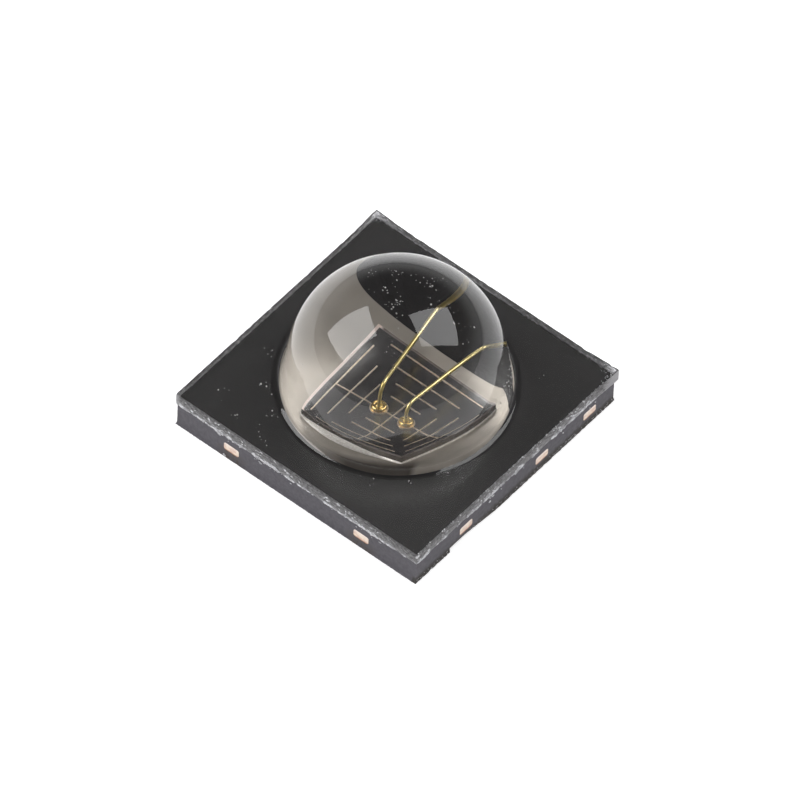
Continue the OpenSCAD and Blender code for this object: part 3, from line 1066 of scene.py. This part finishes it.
@dataclass
class LensDust:
    """Dust specks that lie on the dome and on the flange, in the clusters that the photograph shows."""

    lens: LensMoulding
    flat_r: float = 1.51
    draft_deg: float = 8.35
    cluster_r: float = 0.06
    size_mm: float = 0.0065
    size_span: Plan = (0.003, 0.016)
    collar_count: int = 130
    collar_deg: Plan = (36.0, 13.0)
    collar_mm: Plan = (0.11, 0.5)
    seed: int = 31

    def build(self) -> None:
        """Scatters specks round the middle of each cluster.

        A speck on the dome lies at the height of the sphere above its place in plan, and one on the flange
        at its top, moved out to where the flange is flat. More of them lie on the collar at its right, on a
        cone that leans in by the draft.
        """
        rng = np.random.default_rng(self.seed)
        clusters = np.array(CLUSTERS)
        plan = np.repeat(clusters[:, :2], clusters[:, 2].astype(int) * 2, axis=0)
        plan = plan + rng.normal(0.0, self.cluster_r, plan.shape)
        radius = np.linalg.norm(plan, axis=1)
        on_dome = radius < self.lens.dome_r - 0.02
        rise = np.sqrt(np.maximum(self.lens.dome_r**2 - radius**2, 0.0))
        plan = plan * np.where(on_dome, 1.0, np.maximum(1.0, self.flat_r / radius))[:, None]
        height = np.where(on_dome, self.lens.dome_z + rise, self.lens.flange_top)
        outward = np.c_[plan, rise] / self.lens.dome_r
        normal = np.where(on_dome[:, None], outward, UP)
        around = np.radians(rng.normal(*self.collar_deg, self.collar_count))
        lift = rng.uniform(*self.collar_mm, self.collar_count)
        draft = math.radians(self.draft_deg)
        out = np.c_[np.cos(around), np.sin(around)]
        plan = np.concatenate([plan, out * (self.lens.foot_r - lift * math.tan(draft))[:, None]])
        height = np.r_[height, self.lens.flange_top + lift]
        collar = np.c_[out * math.cos(draft), np.full(self.collar_count, math.sin(draft))]
        normal = np.concatenate([normal, collar])
        along = np.cross(normal, (0.3, 0.9, 0.1))
        along /= np.linalg.norm(along, axis=1)[:, None]
        frames = np.stack([along, np.cross(normal, along), normal], axis=1)
        size = (self.size_mm * np.exp(rng.normal(0.0, 0.45, len(plan)))).clip(*self.size_span)
        sizes = np.c_[size, size * rng.uniform(0.5, 1.0, len(size)), size * 0.35]
        places = np.c_[plan, height]
        Crumbs("dust_specks", self.seed).build(places, frames, sizes, DUST)


@dataclass(frozen=True)
class Softbox:
    """A rectangular lamp that faces the dome, where the dome mirrors it as in the photograph.

    Directions are along the camera's right, up and backward axes.
    """

    name: str
    towards: Point
    across: Point
    size: Plan
    radiance: float
    distance: float = 60.0
    dome_z: float = 0.915

    def build(self, axes: tuple[Vector, Vector, Vector]) -> None:
        """Adds the lamp.

        Args:
            axes: Camera's right, up and backward directions.
        """
        turn = Matrix(axes).transposed()
        way = (turn @ Vector(self.towards)).normalized()
        up = way.cross(turn @ Vector(self.across)).normalized()
        lamp = bpy.data.lights.new(self.name, "AREA")
        lamp.shape = "RECTANGLE"
        lamp.size, lamp.size_y = self.size[0] * MM, self.size[1] * MM
        lamp.energy = self.radiance * math.pi * lamp.size * lamp.size_y
        box = add_object(self.name, lamp)
        place = Vector((0, 0, self.dome_z * MM)) + way * self.distance * MM
        box.matrix_world = Matrix.Translation(place) @ Matrix((up.cross(way), up, way)).transposed().to_4x4()


LAMPS = (
    Softbox("softbox_left", (-0.711, 0.492, 0.503), (0.689, 0.629, 0.359), (48, 41), 4.3),
    Softbox("softbox_right", (0.603, 0.58, 0.549), (0.693, -0.04, -0.72), (47, 40), 3.25),
)


@dataclass(frozen=True)
class Studio:
    """Camera at the photograph's angle, pale floor, two softboxes and a surround that is dark overhead."""

    azimuth: float = 37.856
    elevation: float = 51.12
    roll: float = -2.4915
    distance: float = 250.0
    view_mm: float = 9.592
    shift_mm: Plan = (0.0565, 0.141)
    sensor: float = 36.0
    floor_mm: float = 400.0
    floor_z: float = -0.002
    sky: Ramp = (0.06, 0.4, 0.75, 0.17)

    def axes(self) -> tuple[Vector, Vector, Vector]:
        """Camera's right, up and backward directions in the row frame."""
        a, e, r = (math.radians(x) for x in (self.azimuth, self.elevation, self.roll))
        right = Vector((math.cos(a), math.sin(a), 0))
        back = Vector((math.sin(a) * math.cos(e), -math.cos(a) * math.cos(e), math.sin(e)))
        up = back.cross(right)
        return math.cos(r) * right - math.sin(r) * up, math.sin(r) * right + math.cos(r) * up, back

    def camera(self) -> None:
        """Places the camera so that the part lies in the frame as in the photograph."""
        right, up, back = self.axes()
        data = bpy.data.cameras.new("camera")
        data.sensor_width = self.sensor
        data.lens = self.sensor * self.distance / self.view_mm
        data.clip_start, data.clip_end = 0.01, 10.0
        camera = add_object("camera", data)
        place = (self.shift_mm[0] * right + self.shift_mm[1] * up + self.distance * back) * MM
        camera.matrix_world = Matrix.Translation(place) @ Matrix((right, up, back)).transposed().to_4x4()
        bpy.context.scene.camera = camera

    def floor(self) -> None:
        """Adds the round floor, a sheet of paper."""
        ring = on_circle(square_ring(64)) * self.floor_mm
        mesh = bpy.data.meshes.new("floor")
        mesh.from_pydata(np.c_[ring, np.full(64, self.floor_z)] * MM, [], [list(range(64))])
        mesh.materials.append(Paper().material())
        plane = add_object("floor", mesh)

    def surround(self) -> None:
        """Sets the world: white at the horizon and dark overhead."""
        world = bpy.data.worlds.new("surround")
        world.use_nodes = True
        world.node_tree.nodes.clear()
        add = partial(add_node, world.node_tree)
        way = add("TexCoord").outputs["Generated"]
        height = add("SeparateXYZ", [way]).outputs["Z"]
        level = add("MapRange", [height, *self.sky], interpolation_type="SMOOTHSTEP")
        add("OutputWorld", {"Surface": add("Background", {"Strength": level})})
        bpy.context.scene.world = world

    def build(self) -> None:
        """Builds the whole studio."""
        self.camera()
        self.floor()
        self.surround()
        for lamp in LAMPS:
            lamp.build(self.axes())
        bpy.context.scene.view_settings.view_transform = "Standard"


def dress(node: str, material: Material) -> None:
    """Gives a CAD node its finish.

    Args:
        node: Name of the CAD node.
        material: Finish that takes the place of the imported one.
    """
    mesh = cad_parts[node].data
    mesh.materials.clear()
    mesh.materials.append(material)
    LOG.info("%s: dressed as %s", node, material.name)


def main() -> None:
    """Builds the studio and every piece in order."""
    logging.basicConfig(level=logging.INFO, format="%(message)s")
    Studio().build()
    body = MouldedBody()
    body.build()
    lens = LensMoulding()
    lens.build()
    plated = PlatedCopper().material()
    dress("die_pad_lead", plated)
    dress("wire_bond_lead", plated)
    dress("led_chip", Semiconductor().material())
    dress("chip_contacts", CONTACT.material())
    DieAttach().build()
    gold = [GOLD.material(), BALL.material()]
    BondWire("gold_wire_a", "bond_wire_a", (-0.128, -0.005), (-0.35, 0.88)).build(gold)
    BondWire("gold_wire_b", "bond_wire_b", (0.098, -0.005), (0.035, 0.88), loop_h=0.158).build(gold)
    SawChips(body).build()
    LensDust(lens).build()


if __name__ == "__main__":
    main()
